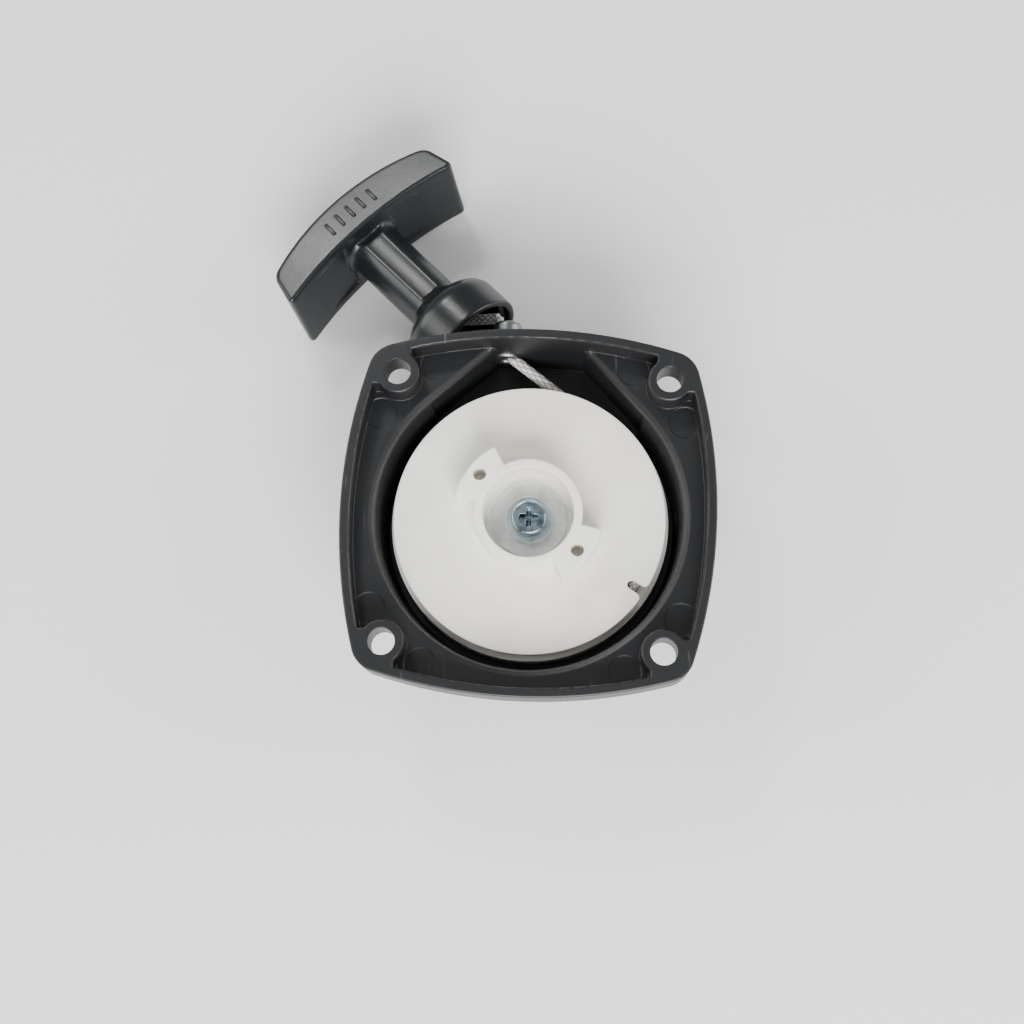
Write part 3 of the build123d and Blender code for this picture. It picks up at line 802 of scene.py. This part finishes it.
@dataclass
class StarterRope:
    """The rope: its outermost turn and run to the guide, and the stretch to the handle."""

    radius: float = 1.5
    turn_radius: float = 32.7
    turn_z: float = -17.0
    leave_angle: float = 56.1
    sweep: float = 300.0
    guide_x: float = -8.2
    guide_bend: float = 2.8
    guide_tip_y: float = 56.0
    guide_bore_radius: float = 1.65
    pivot: tuple[float, float, float] = (-24.9674, 59.2382, -24.5582)
    stub: float = 0.5

    def corners(self) -> tuple[Vector, Vector, Vector]:
        """Where the rope leaves the reel and where its straight runs would meet at the guide, in millimetres."""
        leave = math.radians(self.leave_angle)
        start = Vector((self.turn_radius * math.cos(leave), self.turn_radius * math.sin(leave), self.turn_z))
        run = Vector((-math.sin(leave), math.cos(leave), 0))
        inner = start + run * ((self.guide_x - start.x) / run.x)
        tip = Vector((self.guide_x, self.guide_tip_y + self.guide_bore_radius, self.turn_z))
        return start, inner, tip

    def split(self) -> Vector:
        """Where the still rope ends and the moving stretch begins, in millimetres."""
        tip = self.corners()[2]
        onward = (Vector(self.pivot) - tip).normalized()
        turn = Vector((0, 1, 0)).angle(onward)
        return tip + onward * (self.guide_bend * math.tan(turn / 2) + self.stub)

    def rounded(self, before: Vector, corner: Vector, after: Vector, steps: int = 8) -> list[Vector]:
        """Points of the arc that rounds a corner of the route.

        Args:
            before: A point on the run into the corner.
            corner: The corner.
            after: A point on the run out of it.
            steps: Divisions of the arc.

        Returns:
            The arc's points, in millimetres.
        """
        back = (before - corner).normalized()
        on = (after - corner).normalized()
        half = back.angle(on) / 2
        centre = corner + (back + on).normalized() * (self.guide_bend / math.sin(half))
        first = corner + back * (self.guide_bend / math.tan(half))
        last = corner + on * (self.guide_bend / math.tan(half))
        arms = [first - centre, last - centre]
        return [centre + arms[0].slerp(arms[1], i / steps) for i in range(steps + 1)]

    def tube(self, name: str, points: list[Vector]) -> bpy.types.Object:
        """Models the rope along points as a mesh tube with a UV map.

        Args:
            name: The piece's name.
            points: Its middle line, in millimetres.

        Returns:
            The tube.
        """
        bpy.ops.object.select_all(action="DESELECT")
        line = bpy.data.curves.new(name, "CURVE")
        line.dimensions = "3D"
        spline = line.splines.new("POLY")
        spline.points.add(len(points) - 1)
        for target, point in zip(spline.points, points):
            target.co = (*(point * MM), 1)
        line.bevel_depth = self.radius * MM
        line.bevel_resolution = 6
        line.use_fill_caps = True
        piece = bpy.data.objects.new(name, line)
        bpy.context.collection.objects.link(piece)
        only_active(piece)
        bpy.ops.object.convert(target="MESH")
        return bpy.context.object

    def still_points(self) -> list[Vector]:
        """Points of the outermost turn and the run through the guide."""
        start, inner, tip = self.corners()
        points = []
        turns = 120
        for index in range(turns):
            angle = math.radians(self.leave_angle - self.sweep * (1 - index / turns))
            points.append(Vector((self.turn_radius * math.cos(angle), self.turn_radius * math.sin(angle), self.turn_z)))
        first = self.rounded(start, inner, tip)
        points.extend(start.lerp(first[0], i / 10) for i in range(10))
        second = self.rounded(inner, tip, Vector(self.pivot))
        points.extend(first)
        points.extend(first[-1].lerp(second[0], i / 4) for i in range(1, 4))
        points.extend(second)
        points.append(self.split())
        return points

    def moving_points(self) -> list[Vector]:
        """Points of the stretch from the guide to the handle."""
        start, end = self.split(), Vector(self.pivot)
        return [start.lerp(end, i / 60) for i in range(61)]


@dataclass
class Studio:
    """Floor, soft light and camera."""

    floor_half: float = 3.0

    def floor(self) -> bpy.types.Object:
        """Adds the pale floor that the starter lies on."""
        bpy.ops.object.select_all(action="DESELECT")
        bpy.ops.mesh.primitive_plane_add(size=2 * self.floor_half, location=(0, 0, FLOOR_Z))
        ground = bpy.context.object
        ground.name = "studio_floor"
        settle(ground)
        ground.data.materials.append(StudioPaper().build())
        return ground

    def softbox(self, name: str, place: tuple, target: tuple, size: float, watts: float, tall: float = 0) -> None:
        """Adds a soft area light.

        Args:
            name: The light's name.
            place: Where it hangs, in metres.
            target: What it points at.
            size: Its width.
            watts: Its power.
            tall: Its height, or zero for a square.
        """
        data = bpy.data.lights.new(name, "AREA")
        data.shape = "RECTANGLE"
        data.size = size
        data.size_y = tall or size
        data.energy = watts
        lamp = bpy.data.objects.new(name, data)
        lamp.location = place
        lamp.rotation_euler = (Vector(target) - Vector(place)).to_track_quat("-Z", "Y").to_euler()
        bpy.context.collection.objects.link(lamp)

    def lights(self) -> None:
        """Lights the starter from above, with a long soft key and weaker fills."""
        world = bpy.data.worlds.new("studio_world")
        world.use_nodes = True
        world.node_tree.nodes["Background"].inputs["Color"].default_value = linear("f4f6f8")
        world.node_tree.nodes["Background"].inputs["Strength"].default_value = 0.45
        bpy.context.scene.world = world
        self.softbox("front_softbox", (0.15, -0.95, 0.75), (0, 0, 0), 0.9, 34.0, 0.6)
        self.softbox("back_softbox", (-0.36, 0.64, 0.78), (-0.04, 0.08, 0), 0.22, 3.2, 0.16)
        self.softbox("left_softbox", (-0.95, 0.1, 0.5), (0, 0, 0), 0.5, 6.0, 0.7)
        self.softbox("right_softbox", (0.95, 0.2, 0.45), (0, 0, 0), 0.5, 6.0, 0.7)

    def camera(self) -> None:
        """Adds the camera, looking almost straight down at the open side."""
        data = bpy.data.cameras.new("studio_camera")
        data.lens = 55.18
        data.sensor_width = 36.0
        data.clip_start = 0.01
        eye = bpy.data.objects.new("studio_camera", data)
        right = Vector((0.99835, 0.04292, -0.03802))
        up = Vector((-0.03355, 0.97500, 0.21967))
        back = Vector((0.04650, -0.21803, 0.97483))
        turn = Matrix((right, up, back)).transposed().to_4x4()
        eye.matrix_world = Matrix.Translation(Vector((14.87, -89.72, 396.0)) * MM) @ turn
        bpy.context.collection.objects.link(eye)
        bpy.context.scene.camera = eye


def finishes() -> dict[str, bpy.types.Material]:
    """Makes the materials of the carried-over CAD nodes.

    Returns:
        Node name to material.
    """
    housing = MouldedPlastic(
        name="Glass-filled black nylon",
        colour="141517",
        scuffed="6d7075",
        roughness=0.4,
        ior=1.53,
        texture_mm=0.7,
        texture_depth_mm=0.05,
        mark_amount=0.55,
        edge_mm=0.5,
    ).build()
    zinc = PlatedMetal("Zinc-plated steel", "eceeec", "cfd3d0", 0.42, Grain.PRESSED)
    screw = PlatedMetal("Blue-passivated steel screw", "b4c6cf", "56676f", 0.27, Grain.TURNED, 0.35, 2.5)
    small_washer = PlatedMetal("Blue-passivated steel washer", "e2eef2", "b7c6cb", 0.36, Grain.TURNED, 0.4, 4.0)
    case = PlatedMetal("Pressed sheet steel", "9b9da0", "6d6f73", 0.4)
    spring = PlatedMetal("Blued spring steel", "4a4d55", "2f3138", 0.35)
    guide = PlatedMetal("Dull nickelled steel", "8d8f90", "6f7172", 0.36, Grain.TURNED, 0.3)
    brass = PlatedMetal("Turned brass", "c9a765", "9c7f48", 0.3, Grain.TURNED, 0.3)
    nylon = NaturalNylon().build()
    knot = BraidedNylon().build(20.0)
    return {
        "housing": housing,
        "reel": nylon,
        "retaining_washer": zinc.build(),
        "flat_washer": small_washer.build(),
        "pivot_screw": screw.build(),
        "threaded_insert": brass.build(),
        "spring_case": case.build(),
        "recoil_spring": spring.build(),
        "rope_guide": guide.build(),
        "rope_coil": knot,
        "reel_knot": knot,
        "handle_knot": knot,
        "handle_rope": knot,
    }


def main() -> None:
    """Builds the starter, dresses it and sets up the studio."""
    logging.basicConfig(level=logging.INFO, format="%(message)s")
    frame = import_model()
    bpy.ops.object.select_all(action="DESELECT")

    for name in CastHardware(frame["nodes"]).dress_all(finishes()):
        LOG.info("dressed %s", name)

    handle_plastic = MouldedPlastic(
        name="Moulded black polypropylene",
        colour="131618",
        scuffed="5b6266",
        roughness=0.3,
        ior=1.49,
        texture_mm=1.1,
        texture_depth_mm=0.035,
        mark_amount=0.35,
        edge_mm=0.2,
    ).build()
    handle = PullHandle()
    place = handle.place(Vector(handle.mouth) * MM, handle.heading, handle.droop, handle.roll)
    for piece in handle.build(place):
        dress(piece, handle_plastic, 40)
        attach(piece, Body.HANDLE.value)
        LOG.info("built %s: %d faces", piece.name, len(piece.data.polygons))
    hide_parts("handle")

    rope = StarterRope()
    still = rope.tube("rope_turn_and_run", rope.still_points())
    dress(still, BraidedNylon().build(245.0), 60)
    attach(still, Body.HOUSING.value)
    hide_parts("rope_run")
    LOG.info("built %s: %d faces", still.name, len(still.data.polygons))
    moving = rope.tube("rope_to_handle", rope.moving_points())
    dress(moving, BraidedNylon().build((rope.split() - Vector(rope.pivot)).length), 60)
    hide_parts("rope_lead")
    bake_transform(moving)
    LOG.info("built %s: %d faces", moving.name, len(moving.data.polygons))

    studio = Studio()
    studio.floor()
    studio.lights()
    studio.camera()


if __name__ == "__main__":
    main()
